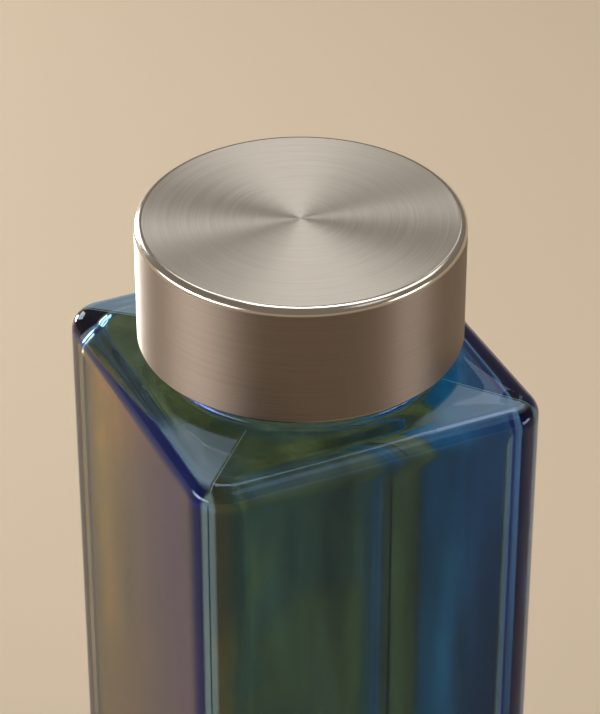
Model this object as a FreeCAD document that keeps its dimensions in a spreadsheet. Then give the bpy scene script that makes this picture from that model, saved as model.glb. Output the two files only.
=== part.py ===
# Square glass bottle with a screw cap of brushed steel.
# Millimetres, +Z up, origin at the middle of the base. The walls face +X, -X, +Y and -Y.
import FreeCAD, Part
import math
import os
import Sketcher

doc = FreeCAD.newDocument("square_bottle")
dims = doc.addObject("Spreadsheet::Sheet", "dims")

# Driving dimensions: name, size, meaning
SIZES = [
    # Bottle
    ("body_width", 68.5, "outside width across two opposite walls"),
    ("body_height", 161.0, "from the base to the crown, the top of the walls' rounding"),
    ("corner_radius", 6.5, "outside radius of the upright corners"),
    ("shoulder_round", 3.7, "radius from the walls over to the shoulder"),
    ("shoulder_rise", 1.0, "climb of the shoulder from the crown to the neck"),
    ("shoulder_land", 0.3, "flat strip beside each end of the sloping shoulder"),
    ("glass_wall", 3.2, "glass in the middle of a wall"),
    ("glass_floor", 6.5, "glass at the base"),
    ("glass_shoulder", 3.4, "glass under the crown"),
    ("inner_corner_radius", 7.0, "inside radius of the upright corners, which leaves them thick"),
    ("inner_floor_round", 5.0, "inside radius around the floor"),
    ("inner_shoulder_round", 3.5, "inside radius under the shoulder"),
    ("base_round", 2.5, "radius around the foot"),
    ("base_ring", 9.0, "width of the flat ring that the bottle stands on"),
    ("base_hollow", 1.2, "depth of the hollow under the base"),
    ("base_hollow_round", 1.0, "radius around that hollow's ceiling"),
    # Neck
    ("neck_wall", 3.5, "glass of the neck between the thread and the mouth"),
    ("neck_root_round", 1.2, "radius where the neck leaves the shoulder"),
    ("rim_round", 1.1, "radius of the mouth's rim"),
    ("mouth_lower_round", 2.0, "radius where the mouth opens into the body"),
    # Cap
    ("cap_diameter", 60.0, "outside diameter of the steel shell"),
    ("cap_height", 24.0, "height of the steel shell"),
    ("cap_gap", 4.3, "open gap between the neck's foot and the cap's lower edge"),
    ("cap_round", 1.4, "radius of the shell's upper rim"),
    ("shell_wall", 0.6, "thickness of the steel"),
    ("hem_width", 1.6, "how far the shell's lower edge is turned in under the insert"),
    ("hem_round", 0.5, "outside radius of that turned edge"),
    ("insert_fit", 0.05, "glue gap between the insert and the shell"),
    ("insert_wall", 1.45, "skirt of the insert behind its thread"),
    ("insert_ceiling", 1.6, "thickness of the insert's top"),
    ("insert_chamfer", 1.0, "bevel of the insert's top edge, clear of the shell's bend"),
    ("seal_thickness", 2.0, "height of the seal ring"),
    ("seal_width", 4.6, "width of the seal ring"),
    ("seal_clearance", 0.3, "gap around the seal ring inside the thread"),
    ("seal_round", 0.4, "radius of the seal ring's edges"),
    # Thread
    ("thread_pitch", 5.0, "climb of the thread in one turn"),
    ("thread_depth", 1.3, "height of the glass thread"),
    ("thread_clearance", 0.6, "gap between each thread's crest and the wall it faces"),
    ("thread_sink", 0.3, "how far each thread is set into its wall"),
    ("thread_drop", 4.0, "from the rim down to the upper end of the glass thread"),
    ("glass_thread_turns", 1.5, "turns of the glass thread"),
    ("glass_thread_root", 2.6, "width of the glass thread at the neck"),
    ("glass_thread_crest", 1.2, "width of the glass thread at its crest"),
    ("insert_thread_turns", 1.25, "turns of the insert's thread"),
    ("insert_thread_root", 2.0, "width of the insert's thread at its skirt"),
    ("insert_thread_crest", 0.9, "width of the insert's thread at its crest"),
]

for row, (alias, size, meaning) in enumerate(SIZES, start=1):
    dims.set(f"A{row}", alias)
    dims.set(f"B{row}", str(size))
    dims.set(f"C{row}", meaning)
    dims.setAlias(f"B{row}", alias)
doc.recompute()

# Radii, from the outside of the cap inwards
SHELL_OUTSIDE = "dims.cap_diameter / 2"
SHELL_INSIDE = f"({SHELL_OUTSIDE} - dims.shell_wall)"
HEM_INSIDE = f"({SHELL_OUTSIDE} - dims.hem_width)"
INSERT_OUTSIDE = f"({SHELL_INSIDE} - dims.insert_fit)"
INSERT_INSIDE = f"({INSERT_OUTSIDE} - dims.insert_wall)"
GLASS_CREST = f"({INSERT_INSIDE} - dims.thread_clearance)"
NECK_OUTSIDE = f"({GLASS_CREST} - dims.thread_depth)"
INSERT_CREST = f"({NECK_OUTSIDE} + dims.thread_clearance)"
MOUTH = f"({NECK_OUTSIDE} - dims.neck_wall)"
NECK_FOOT = f"({NECK_OUTSIDE} + dims.neck_root_round + dims.shoulder_land)"
SEAL_OUTSIDE = f"({INSERT_CREST} - dims.seal_clearance)"
SEAL_INSIDE = f"({SEAL_OUTSIDE} - dims.seal_width)"

# Heights, from the base upwards
CROWN = "dims.body_height"
NECK_BASE = f"({CROWN} + dims.shoulder_rise)"
CAP_EDGE = f"({NECK_BASE} + dims.cap_gap)"
CAP_TOP = f"({CAP_EDGE} + dims.cap_height)"
INSERT_TOP = f"({CAP_TOP} - dims.shell_wall)"
CEILING = f"({INSERT_TOP} - dims.insert_ceiling)"
RIM = f"({CEILING} - dims.seal_thickness)"
CHAMBER_TOP = f"({CROWN} - dims.glass_shoulder)"
HEM_TOP = f"({CAP_EDGE} + dims.shell_wall)"
GLASS_THREAD_START = f"({RIM} - dims.thread_drop - dims.glass_thread_turns * dims.thread_pitch)"
INSERT_THREAD_START = f"({GLASS_THREAD_START} - dims.thread_pitch / 2)"

# Roundings that are limited by what they lie on, to this share of it
ROUND_LIMIT = 0.85
SHOULDER_ROUND = f"min(dims.shoulder_round; dims.corner_radius * {ROUND_LIMIT})"
HOLLOW_ROUND = f"min(dims.base_hollow_round; dims.base_hollow * {ROUND_LIMIT})"

# Widths and corners of the square outlines
CROWN_INSET = f"({SHOULDER_ROUND} + dims.shoulder_land)"
CROWN_WIDTH = f"(dims.body_width - 2 * {CROWN_INSET})"
CROWN_CORNER = f"max(dims.corner_radius - {CROWN_INSET}; dims.shoulder_land)"
CHAMBER_WIDTH = "(dims.body_width - 2 * dims.glass_wall)"
HOLLOW_WIDTH = "(dims.body_width - 2 * dims.base_ring)"

# The circle under the neck: its first arc faces the front wall
ARC_SPAN = 45
FIRST_ARC_START = 270 - ARC_SPAN / 2

# Edges nearer than this to a place are taken to be there
SAME_PLACE = 1e-4


def value(formula):
    """The number that a formula gives."""
    return float(dims.evalExpression(formula))


def new_body(label):
    """An empty body, named for its piece."""
    body = doc.addObject("PartDesign::Body", label)
    body.Label = label
    return body


def new_sketch(body, name, role, height=None):
    """A sketch on one of the body's own planes, lifted to a height where one is given."""
    sketch = body.newObject("Sketcher::SketchObject", name)
    plane = [feature for feature in body.Origin.OriginFeatures if feature.Role == role][0]
    sketch.AttachmentSupport = [(plane, "")]
    sketch.MapMode = "FlatFace"
    if height:
        sketch.setExpression("AttachmentOffset.Base.z", height)
    return sketch


def hold(sketch, name, formula, kind, *where):
    """Add a dimension to a sketch and bind it to a formula."""
    index = sketch.addConstraint(Sketcher.Constraint(kind, *where, value(formula)))
    sketch.renameConstraint(index, name)
    sketch.setExpression(f"Constraints.{name}", formula)


def rounded_square(sketch, width, radius):
    """A square about the origin with four equal round corners."""
    half = value(width) / 2
    bend = value(radius)
    straight = half - bend
    for side in range(4):
        turn = FreeCAD.Rotation(FreeCAD.Vector(0, 0, 1), 90 * side)
        start = turn.multVec(FreeCAD.Vector(-straight, -half, 0))
        end = turn.multVec(FreeCAD.Vector(straight, -half, 0))
        centre = turn.multVec(FreeCAD.Vector(straight, -straight, 0))
        corner = Part.Circle(centre, FreeCAD.Vector(0, 0, 1), bend)
        first = math.radians(90 * side - 90)
        sketch.addGeometry(Part.LineSegment(start, end), False)
        sketch.addGeometry(Part.ArcOfCircle(corner, first, first + math.pi / 2), False)
    for edge in range(8):
        sketch.addConstraint(Sketcher.Constraint("Tangent", edge, 2, (edge + 1) % 8, 1))
    for edge, direction in ((0, "Horizontal"), (2, "Vertical"), (4, "Horizontal"), (6, "Vertical")):
        sketch.addConstraint(Sketcher.Constraint(direction, edge))
    for corner in (3, 5, 7):
        sketch.addConstraint(Sketcher.Constraint("Equal", 1, corner))
    hold(sketch, "corner", radius, "Radius", 1)
    hold(sketch, "right", f"{width} / 2", "DistanceX", -1, 1, 2, 1)
    hold(sketch, "left", f"{width} / 2", "DistanceX", 6, 1, -1, 1)
    hold(sketch, "back", f"{width} / 2", "DistanceY", -1, 1, 4, 1)
    hold(sketch, "front", f"{width} / 2", "DistanceY", 0, 1, -1, 1)


def circle(sketch, name, radius):
    """A circle about the origin."""
    round_edge = Part.Circle(FreeCAD.Vector(0, 0, 0), FreeCAD.Vector(0, 0, 1), value(radius))
    index = sketch.addGeometry(round_edge, False)
    sketch.addConstraint(Sketcher.Constraint("Coincident", index, 3, -1, 1))
    hold(sketch, name, radius, "Radius", index)


def circle_of_eight_arcs(sketch, radius):
    """A circle in eight equal arcs: one for each side and each corner of a rounded square."""
    size = value(radius)
    whole = Part.Circle(FreeCAD.Vector(0, 0, 0), FreeCAD.Vector(0, 0, 1), size)
    angles = [FIRST_ARC_START + ARC_SPAN * arc for arc in range(8)]
    for angle in angles:
        ends = (math.radians(angle), math.radians(angle + ARC_SPAN))
        sketch.addGeometry(Part.ArcOfCircle(whole, *ends), False)
    for arc in range(8):
        sketch.addConstraint(Sketcher.Constraint("Coincident", arc, 2, (arc + 1) % 8, 1))
    for arc in range(7):
        sketch.addConstraint(Sketcher.Constraint("Coincident", arc, 3, -1, 1))
    sketch.addConstraint(Sketcher.Constraint("Equal", 0, 7))
    hold(sketch, "radius", radius, "Radius", 0)
    for arc, angle in enumerate(angles):
        across = math.cos(math.radians(angle))
        ends = (-1, 1, arc, 1) if across > 0 else (arc, 1, -1, 1)
        hold(sketch, f"corner_{arc}", f"{radius} * {abs(across):.9f}", "DistanceX", *ends)


def profile(sketch, points):
    """A closed outline of straight lines through points given as (radius, height) formulas."""
    places = [FreeCAD.Vector(value(radius), value(height), 0) for radius, height in points]
    count = len(points)
    for index in range(count):
        sketch.addGeometry(Part.LineSegment(places[index], places[(index + 1) % count]), False)
    for index in range(count):
        sketch.addConstraint(Sketcher.Constraint("Coincident", index, 2, (index + 1) % count, 1))
    for index, (radius, height) in enumerate(points):
        if radius == "0":
            sketch.addConstraint(Sketcher.Constraint("PointOnObject", index, 1, -2))
        else:
            hold(sketch, f"radius_{index}", radius, "DistanceX", -1, 1, index, 1)
        hold(sketch, f"height_{index}", height, "DistanceY", -1, 1, index, 1)


def pad(body, name, sketch, length):
    """Raise a sketch into a solid."""
    feature = body.newObject("PartDesign::Pad", name)
    feature.Profile = sketch
    feature.setExpression("Length", length)
    doc.recompute()
    return feature


def pocket(body, name, sketch, length):
    """Cut a sketch upwards into the body, and make sure that it took material away."""
    before = body.Shape.Volume
    feature = body.newObject("PartDesign::Pocket", name)
    feature.Profile = sketch
    feature.Reversed = True
    feature.setExpression("Length", length)
    doc.recompute()
    if not feature.Shape.Volume < before:
        raise RuntimeError(f"{name} cut nothing")
    return feature


def revolution(body, name, sketch):
    """Turn a sketch all the way round the upright axis."""
    feature = body.newObject("PartDesign::Revolution", name)
    feature.Profile = sketch
    feature.ReferenceAxis = (sketch, ["V_Axis"])
    feature.Angle = 360
    doc.recompute()
    return feature


def level_edges(feature, height):
    """Names of the edges that lie flat at a height."""
    level = value(height)
    names = []
    for number, edge in enumerate(feature.Shape.Edges, start=1):
        box = edge.BoundBox
        if abs(box.ZMin - level) < SAME_PLACE and abs(box.ZMax - level) < SAME_PLACE:
            names.append(f"Edge{number}")
    return names


def ring_edges(feature, radius, height):
    """Names of the circular edges about the axis with a radius, at a height."""
    names = []
    for number, edge in enumerate(feature.Shape.Edges, start=1):
        curve = edge.Curve
        if not isinstance(curve, Part.Circle):
            continue
        offset = curve.Center - FreeCAD.Vector(0, 0, value(height))
        if offset.Length < SAME_PLACE and abs(curve.Radius - value(radius)) < SAME_PLACE:
            names.append(f"Edge{number}")
    return names


def fillet(body, name, feature, edges, radius):
    """Round the named edges of a feature."""
    if not edges:
        raise RuntimeError(f"{name} found no edge")
    rounding = body.newObject("PartDesign::Fillet", name)
    rounding.Base = (feature, edges)
    rounding.setExpression("Radius", radius)
    doc.recompute()
    return rounding


def thread(body, name, wall, crest, start, root_width, crest_width, turns):
    """A right-hand thread that stands from a wall to a crest radius."""
    sketch = new_sketch(body, f"{name}_section", "XZ_Plane")
    points = [
        (wall, f"{start} - {root_width} / 2"),
        (crest, f"{start} - {crest_width} / 2"),
        (crest, f"{start} + {crest_width} / 2"),
        (wall, f"{start} + {root_width} / 2"),
    ]
    profile(sketch, points)
    doc.recompute()
    feature = body.newObject("PartDesign::AdditiveHelix", name)
    feature.Profile = sketch
    feature.ReferenceAxis = (sketch, ["V_Axis"])
    feature.Mode = "pitch-turns-angle"
    feature.LeftHanded = False
    feature.setExpression("Pitch", "dims.thread_pitch")
    feature.setExpression("Turns", turns)
    doc.recompute()
    return feature


def make_glass_bottle():
    """Square walls, a shoulder that goes from square to round, the neck, the inside and the thread."""
    body = new_body("glass_bottle")

    outline = new_sketch(body, "wall_outline", "XY_Plane")
    rounded_square(outline, "dims.body_width", "dims.corner_radius")
    walls = pad(body, "walls", outline, CROWN)
    walls = fillet(body, "shoulder_edge", walls, level_edges(walls, CROWN), SHOULDER_ROUND)
    walls = fillet(body, "foot_edge", walls, level_edges(walls, "0"), "dims.base_round")

    crown = new_sketch(body, "crown_outline", "XY_Plane", CROWN)
    rounded_square(crown, CROWN_WIDTH, CROWN_CORNER)
    neck_foot = new_sketch(body, "neck_foot_outline", "XY_Plane", NECK_BASE)
    circle_of_eight_arcs(neck_foot, NECK_FOOT)
    doc.recompute()
    shoulder = body.newObject("PartDesign::AdditiveLoft", "shoulder")
    shoulder.Profile = crown
    shoulder.Sections = [neck_foot]
    shoulder.Ruled = True
    doc.recompute()

    neck_outline = new_sketch(body, "neck_outline", "XY_Plane", CROWN)
    circle(neck_outline, "neck", NECK_OUTSIDE)
    neck = pad(body, "neck", neck_outline, f"{RIM} - {CROWN}")
    root = ring_edges(neck, NECK_OUTSIDE, NECK_BASE)
    fillet(body, "neck_root", neck, root, "dims.neck_root_round")

    chamber_outline = new_sketch(body, "chamber_outline", "XY_Plane", "dims.glass_floor")
    rounded_square(chamber_outline, CHAMBER_WIDTH, "dims.inner_corner_radius")
    chamber = pocket(body, "chamber", chamber_outline, f"{CHAMBER_TOP} - dims.glass_floor")
    floor_edges = level_edges(chamber, "dims.glass_floor")
    chamber = fillet(body, "chamber_floor_edge", chamber, floor_edges, "dims.inner_floor_round")
    roof_edges = level_edges(chamber, CHAMBER_TOP)
    fillet(body, "chamber_roof_edge", chamber, roof_edges, "dims.inner_shoulder_round")

    mouth_outline = new_sketch(body, "mouth_outline", "XY_Plane", CHAMBER_TOP)
    circle(mouth_outline, "mouth", MOUTH)
    mouth = pocket(body, "mouth", mouth_outline, f"{RIM} - {CHAMBER_TOP}")
    rim = ring_edges(mouth, MOUTH, RIM) + ring_edges(mouth, NECK_OUTSIDE, RIM)
    mouth = fillet(body, "rim_edges", mouth, rim, "dims.rim_round")
    lower_mouth = ring_edges(mouth, MOUTH, CHAMBER_TOP)
    fillet(body, "lower_mouth_edge", mouth, lower_mouth, "dims.mouth_lower_round")

    hollow_outline = new_sketch(body, "base_hollow_outline", "XY_Plane")
    rounded_square(hollow_outline, HOLLOW_WIDTH, "dims.inner_corner_radius")
    hollow = pocket(body, "base_hollow", hollow_outline, "dims.base_hollow")
    hollow_edges = level_edges(hollow, "dims.base_hollow")
    fillet(body, "base_hollow_edge", hollow, hollow_edges, HOLLOW_ROUND)

    thread(
        body, "glass_thread", f"{NECK_OUTSIDE} - dims.thread_sink", GLASS_CREST, GLASS_THREAD_START,
        "dims.glass_thread_root", "dims.glass_thread_crest", "dims.glass_thread_turns",
    )
    return body


def make_cap_shell():
    """The drawn steel shell: a flat top, a rounded rim, a straight side and a hem turned inwards."""
    body = new_body("cap_shell")
    section = new_sketch(body, "shell_section", "XZ_Plane")
    points = [
        ("0", CAP_TOP),
        (SHELL_OUTSIDE, CAP_TOP),
        (SHELL_OUTSIDE, CAP_EDGE),
        (HEM_INSIDE, CAP_EDGE),
        (HEM_INSIDE, HEM_TOP),
        (SHELL_INSIDE, HEM_TOP),
        (SHELL_INSIDE, INSERT_TOP),
        ("0", INSERT_TOP),
    ]
    profile(section, points)
    shell = revolution(body, "shell", section)
    shell = fillet(body, "rim", shell, ring_edges(shell, SHELL_OUTSIDE, CAP_TOP), "dims.cap_round")
    inner_bend = ring_edges(shell, SHELL_INSIDE, INSERT_TOP)
    shell = fillet(body, "inner_bend", shell, inner_bend, "dims.cap_round - dims.shell_wall")
    hem = ring_edges(shell, SHELL_OUTSIDE, CAP_EDGE)
    fillet(body, "hem_edge", shell, hem, "dims.hem_round")
    return body


def make_cap_insert():
    """The moulded insert: a top, a skirt that stands on the shell's hem, and the inside thread."""
    body = new_body("cap_insert")
    section = new_sketch(body, "insert_section", "XZ_Plane")
    points = [
        ("0", INSERT_TOP),
        (f"{INSERT_OUTSIDE} - dims.insert_chamfer", INSERT_TOP),
        (INSERT_OUTSIDE, f"{INSERT_TOP} - dims.insert_chamfer"),
        (INSERT_OUTSIDE, HEM_TOP),
        (INSERT_INSIDE, HEM_TOP),
        (INSERT_INSIDE, CEILING),
        ("0", CEILING),
    ]
    profile(section, points)
    revolution(body, "insert", section)
    thread(
        body, "insert_thread", f"{INSERT_INSIDE} + dims.thread_sink", INSERT_CREST, INSERT_THREAD_START,
        "dims.insert_thread_root", "dims.insert_thread_crest", "dims.insert_thread_turns",
    )
    return body


def make_seal_ring():
    """The soft ring that lies between the glass rim and the insert's top."""
    body = new_body("seal_ring")
    outline = new_sketch(body, "seal_outline", "XY_Plane", RIM)
    circle(outline, "outside", SEAL_OUTSIDE)
    circle(outline, "inside", SEAL_INSIDE)
    ring = pad(body, "ring", outline, "dims.seal_thickness")
    edges = []
    for height in (RIM, CEILING):
        edges += ring_edges(ring, SEAL_OUTSIDE, height) + ring_edges(ring, SEAL_INSIDE, height)
    fillet(body, "ring_edges", ring, edges, "dims.seal_round")
    return body


pieces = [make_glass_bottle(), make_cap_shell(), make_cap_insert(), make_seal_ring()]
doc.recompute()

# Nothing is written unless every feature and every piece is sound
for feature in doc.Objects:
    if "Invalid" in feature.State or "Error" in feature.State:
        raise RuntimeError(f"{feature.Label} failed: {feature.State}")
for piece in pieces:
    if piece.Shape.isNull() or not piece.Shape.isValid() or len(piece.Shape.Solids) != 1:
        raise RuntimeError(f"{piece.Label} is not one valid solid")

os.makedirs("parts", exist_ok=True)
for piece in pieces:
    piece.Shape.exportStep(f"parts/{piece.Label}.step")
    box = piece.Shape.BoundBox
    print(f"{piece.Label}: {piece.Shape.Volume / 1000:.2f} cm3, z {box.ZMin:.2f} to {box.ZMax:.2f}")
print(f"cap lower edge {value(CAP_EDGE):.2f}, rim {value(RIM):.2f}, ceiling {value(CEILING):.2f}")
print(f"neck {value(NECK_OUTSIDE):.2f}, mouth {value(MOUTH):.2f}, chamber top {value(CHAMBER_TOP):.2f}")
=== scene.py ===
# Looks of a square glass bottle with a brushed steel screw cap. Metres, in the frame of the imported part.
import math

import bmesh
import bpy
from bpy.props import FloatProperty, FloatVectorProperty, PointerProperty
from mathutils import Matrix, Vector


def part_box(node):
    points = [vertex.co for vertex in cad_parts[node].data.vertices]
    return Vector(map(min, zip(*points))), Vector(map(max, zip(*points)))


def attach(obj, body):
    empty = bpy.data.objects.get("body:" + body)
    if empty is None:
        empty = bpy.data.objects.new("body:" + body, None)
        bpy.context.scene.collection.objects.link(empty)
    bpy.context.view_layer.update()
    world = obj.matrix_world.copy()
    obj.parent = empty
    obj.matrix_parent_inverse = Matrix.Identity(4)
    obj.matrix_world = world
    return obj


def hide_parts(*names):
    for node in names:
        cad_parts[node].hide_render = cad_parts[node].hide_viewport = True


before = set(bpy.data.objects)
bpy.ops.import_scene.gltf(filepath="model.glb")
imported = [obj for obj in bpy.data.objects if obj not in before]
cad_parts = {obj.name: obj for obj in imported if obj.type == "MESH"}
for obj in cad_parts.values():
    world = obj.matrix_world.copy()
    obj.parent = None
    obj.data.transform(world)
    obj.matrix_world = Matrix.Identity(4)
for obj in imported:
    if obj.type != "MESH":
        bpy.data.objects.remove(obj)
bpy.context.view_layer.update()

bl_info = {
    "name": "Square Bottle",
    "version": (1, 0, 0),
    "blender": (4, 5, 0),
    "location": "3D View > Sidebar > Bottle",
    "description": "Dresses a square glass bottle with a brushed steel screw cap and lights it",
    "category": "Object",
}

MM = 0.001

glass_low, glass_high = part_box("glass_bottle")
shell_low, shell_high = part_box("cap_shell")


def linear(code):
    """Turn an sRGB hex colour into linear red, green and blue, by the standard's curve."""
    channels = [int(code[start:start + 2], 16) / 255 for start in (0, 2, 4)]
    return tuple(c / 12.92 if c <= 0.04045 else ((c + 0.055) / 1.055) ** 2.4 for c in channels)


def length(name, description, default):
    """A size in metres that a user may change."""
    return FloatProperty(name=name, description=description, default=default, unit="LENGTH",
                         subtype="DISTANCE", precision=5)


def colour(name, description, code):
    """A colour that a user may change, written as sRGB hex."""
    return FloatVectorProperty(name=name, description=description, default=linear(code), size=3,
                               subtype="COLOR", min=0, max=1)


def number(name, description, default):
    """A plain number that a user may change."""
    return FloatProperty(name=name, description=description, default=default, precision=4)


def angle(name, description, degrees):
    """An angle that a user may change, written in degrees."""
    return FloatProperty(name=name, description=description, default=math.radians(degrees),
                         unit="ROTATION", subtype="ANGLE")


class BottleSettings(bpy.types.PropertyGroup):
    """Sizes and tints of the glass bottle"""

    width: length("Width", "Across two opposite walls", glass_high[0] - glass_low[0])
    rim: length("Rim height", "From the base to the mouth's rim", glass_high[2] - glass_low[2])
    crown: length("Crown height", "From the base to the top of the walls' rounding", 161.0 * MM)
    corner: length("Corner radius", "Outside radius of the upright corners", 6.5 * MM)
    shoulder_round: length("Shoulder rounding", "Radius from the walls over to the shoulder", 3.7 * MM)
    shoulder_rise: length("Shoulder rise", "Climb of the shoulder up to the neck", 1.0 * MM)
    land: length("Land", "Flat strip beside each end of the sloping shoulder", 0.3 * MM)
    wall: length("Wall", "Glass in the middle of a wall", 3.2 * MM)
    floor: length("Floor", "Glass at the base", 6.5 * MM)
    roof: length("Roof", "Glass under the crown", 3.4 * MM)
    inner_corner: length("Inner corner", "Inside radius of the upright corners", 7.0 * MM)
    inner_floor_round: length("Inner floor rounding", "Inside radius around the floor", 5.0 * MM)
    inner_roof_round: length("Inner roof rounding", "Inside radius under the shoulder", 3.5 * MM)
    base_round: length("Base rounding", "Radius around the foot", 2.5 * MM)
    base_ring: length("Standing ring", "Width of the ring that the bottle stands on", 9.0 * MM)
    base_hollow: length("Base hollow", "Depth of the hollow under the base", 1.2 * MM)
    hollow_round: length("Hollow rounding", "Radius around the hollow's ceiling", 1.0 * MM)
    neck: length("Neck radius", "Outside of the neck between the threads", 26.0 * MM)
    mouth: length("Mouth radius", "Inside of the neck", 22.5 * MM)
    neck_root: length("Neck root", "Radius where the neck leaves the shoulder", 1.2 * MM)
    rim_round: length("Rim rounding", "Radius of the mouth's rim", 1.1 * MM)
    lower_mouth: length("Lower mouth", "Radius where the mouth opens into the body", 2.0 * MM)
    pitch: length("Thread pitch", "Climb of the thread in one turn", 5.0 * MM)
    thread_depth: length("Thread depth", "Height of the glass thread", 1.3 * MM)
    thread_drop: length("Thread drop", "From the rim to the upper end of the thread", 4.0 * MM)
    thread_root: length("Thread root", "Width of the thread at the neck", 2.6 * MM)
    thread_crest: length("Thread crest", "Width of the thread at its crest", 1.2 * MM)
    thread_turns: number("Thread turns", "Turns of the glass thread", 1.5)
    smoke: colour("Smoke", "Tint of the shoulder, neck and base", "74A9CC")
    sea: colour("Sea", "Tint of the front wall", "528AA6")
    amber: colour("Amber", "Tint of the back wall and of the right wall's back edge", "F0CC70")
    fern: colour("Fern", "Tint of the clouds in the back wall", "C0BA86")
    moss: colour("Moss", "Tint of the rounded corners", "8C9468")
    straw: colour("Straw", "Tint of the left wall towards the back", "BCA04C")
    mauve: colour("Mauve", "Tint of the left wall towards the front", "50109C")
    azure: colour("Azure", "Tint of the right wall towards the back", "38C8FF")
    slate: colour("Slate", "Tint of the right wall towards the front", "4890CC")
    # Cobalt: painted shade, the navy flank and navy line that a thick corner shows, kept navy rather than
    # black by a milky share
    cobalt_painted_shade: colour("Cobalt", "Tint of the front corners' side halves and of each corner's edge", "142C9C")
    # Brow: painted light, the navy glow that the thick top of each side wall shows, kept navy rather than
    # black by a milky share
    brow_painted_glow: colour("Brow", "Tint of the rounding along the top of the side walls", "0A2488")
    # Mist: a milky pale patch of painted reflection on the shoulder's corners
    mist_painted_reflection: colour("Mist", "Tint of one half of each corner of the shoulder", "9CBCD4")
    # Frost: painted highlight, the pale bands beside each corner's edge and the pale lines over the shoulder
    frost_painted_highlight: colour("Frost", "Tint beside each corner's edge and of the shoulder's fine lines", "BCE6EC")
    lustre: colour("Lustre", "Tint of what the glass mirrors", "B4C4F4")
    cloud: length("Clouds", "Size of the soft clouds in the back wall's tint", 22.0 * MM)
    streak: length("Streaks", "Width of the faint upright streaks in the tint", 9.0 * MM)
    depth_blue: colour("Depth blue", "What is left of white light in deep glass", "7CA0F9")
    depth_density: number("Depth density", "How fast deep glass darkens, per metre", 60.0)


class CapSettings(bpy.types.PropertyGroup):
    """Sizes and colours of the cap"""

    radius: length("Radius", "Outside radius of the steel shell", (shell_high[0] - shell_low[0]) / 2)
    edge: length("Lower edge", "Height of the shell's lower edge", shell_low[2])
    top: length("Top", "Height of the shell's top", shell_high[2])
    rim_round: length("Rim rounding", "Radius of the upper rim", 1.4 * MM)
    wall: length("Wall", "Thickness of the steel", 0.6 * MM)
    hem: length("Hem", "How far the lower edge is turned in", 1.6 * MM)
    hem_round: length("Hem rounding", "Outside radius of the turned edge", 0.5 * MM)
    brush: length("Brush lines", "Spacing of the brush lines, drawn coarse enough to show", 0.35 * MM)
    top_steel: colour("Top steel", "Colour of the brushed top", "C8C2B8")
    # Darker and warmer than the top and the rim: painted shade, and a painted warm reflection, on the same
    # steel
    side_steel_painted_shade: colour("Side steel", "Colour of the brushed side", "94867A")
    rim_steel: colour("Rim steel", "Colour of the polished rim", "C8C2B8")
    plastic: colour("Insert plastic", "Colour of the threaded insert", "1C1C1E")
    silicone: colour("Seal silicone", "Colour of the seal ring", "DCDCD6")


class StudioSettings(bpy.types.PropertyGroup):
    """Floor, light and camera"""

    floor_colour: colour("Floor", "Colour of the plain floor", "CFBEA6")
    unevenness: length("Unevenness", "Size of the faint uneven patches in the floor", 160.0 * MM)
    floor_radius: length("Floor radius", "How far the floor reaches", 40.0)
    lit_reach: length("Lit reach", "How far from the bottle the lamps light the floor well", 0.45)
    room_colour: colour("Room", "Colour of the light that comes from all sides", "C6BAAC")
    room_strength: number("Room strength", "Strength of the light that comes from all sides", 0.46)
    azimuth: angle("Azimuth", "Where the camera stands around the bottle", -24.3)
    elevation: angle("Elevation", "How high the camera looks down", 34.28)
    distance: length("Distance", "From the camera to the middle of the cap's top", 576.3 * MM)


def add_node(tree, kind, settings=None, inputs=None):
    """Add a node, set its options, and fill or link its inputs."""
    node = tree.nodes.new(kind)
    for name, value in (settings or {}).items():
        setattr(node, name, value)
    for name, value in (inputs or {}).items():
        if isinstance(value, bpy.types.NodeSocket):
            tree.links.new(value, node.inputs[name])
        else:
            node.inputs[name].default_value = value
    return node


def new_material(name):
    """An empty node material and its tree, with an output to link to."""
    material = bpy.data.materials.new(name)
    material.use_nodes = True
    tree = material.node_tree
    tree.nodes.clear()
    output = add_node(tree, "ShaderNodeOutputMaterial")
    return material, tree, output


def new_object(name, mesh, materials):
    """Put a mesh into the scene with its materials."""
    for material in materials:
        mesh.materials.append(material)
    piece = bpy.data.objects.new(name, mesh)
    bpy.context.scene.collection.objects.link(piece)
    return piece


# How finely the glass is drawn: stops along each side of the square, steps around bends and along flats,
# and how close to a bend a ring lies that keeps the flat beside it flat
SIDE_STOPS = (0, 0.02, 0.2, 0.4, 0.6, 0.8, 0.98)
CORNER_STEPS = 16
ROUND_STEPS = 8
FLAT_STEPS = 4
SUPPORT = 0.3 * MM

# Shares of the way out under the base and in over the floor, and of half the width in the floor's middle
HOLLOW_STOPS = (0.2, 0.5, 0.9)
FLOOR_STOPS = (0.1, 0.5, 1.0)
FLOOR_MIDDLE = 0.1
FLOOR_MIDDLE_CORNER = 0.05

# Height between two rings of the threaded neck, and the turn over which the thread runs out at each end
THREAD_STEP = 0.3 * MM
THREAD_RUN_OUT = math.radians(40)


def quarter(steps):
    """Steps of a quarter circle as pairs: how far along the start, how far towards the end, from 0 to 1."""
    turns = [math.pi / 2 * step / steps for step in range(steps + 1)]
    return [(math.sin(turn), 1 - math.cos(turn)) for turn in turns]


def square_ring(half, corner):
    """Points of a rounded square about the axis: each side and then the corner after it, from the front."""
    straight = half - corner
    points = []
    for side in range(4):
        turn = Matrix.Rotation(math.pi / 2 * side, 2)
        for stop in SIDE_STOPS:
            points.append(turn @ Vector((straight * (2 * stop - 1), -half)))
        for step in range(CORNER_STEPS):
            bend = math.pi / 2 * step / CORNER_STEPS
            reach = Vector((math.sin(bend), -math.cos(bend))) * corner
            points.append(turn @ (Vector((straight, -straight)) + reach))
    return points


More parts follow.
